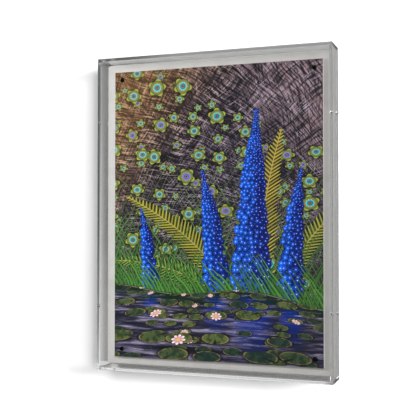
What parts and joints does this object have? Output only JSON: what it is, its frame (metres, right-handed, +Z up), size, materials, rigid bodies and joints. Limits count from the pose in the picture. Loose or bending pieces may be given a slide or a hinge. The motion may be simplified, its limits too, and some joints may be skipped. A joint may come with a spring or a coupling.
{
  "type": "wall print in clear acrylic box frame",
  "caption": "Portrait wall print pinned on an off-white board inside a deep clear acrylic box, with a timber frame and hanging cleat behind.",
  "frame": {"origin": "middle of the bottom of the whole object's box", "axes": "+Z up, the print faces -Y, the wall is at +Y, +X is to the right seen from the front"},
  "size_m": [0.3386, 0.048, 0.439],
  "materials": {
    "clear_acrylic": "clear cast sheet with polished edges",
    "mount_board": "off-white matt board",
    "print": "satin print on a stiff panel",
    "corner_pin": "satin black enamel",
    "painted_timber": "white painted softwood",
    "screw_steel": "plain stainless",
    "cleat_aluminium": "mill-finish extrusion",
    "bumper_rubber": "matt soft rubber"
  },
  "bodies": {
    "root": {"front_pane": "clear_acrylic", "left_wall": "clear_acrylic", "right_wall": "clear_acrylic", "top_wall": "clear_acrylic", "bottom_wall": "clear_acrylic", "backing_board": "mount_board", "print_panel": "print", "pin_top_left": "corner_pin", "pin_top_right": "corner_pin", "pin_bottom_left": "corner_pin", "pin_bottom_right": "corner_pin", "rail_left": "painted_timber", "rail_right": "painted_timber", "rail_bottom": "painted_timber", "rail_top": "painted_timber", "side_screw_left_upper": "screw_steel", "side_screw_left_lower": "screw_steel", "side_screw_right_upper": "screw_steel", "side_screw_right_lower": "screw_steel", "hanging_cleat": "cleat_aluminium", "cleat_screw_left": "screw_steel", "cleat_screw_middle": "screw_steel", "cleat_screw_right": "screw_steel", "bumper_left": "bumper_rubber", "bumper_right": "bumper_rubber"}
  },
  "joints": []
}
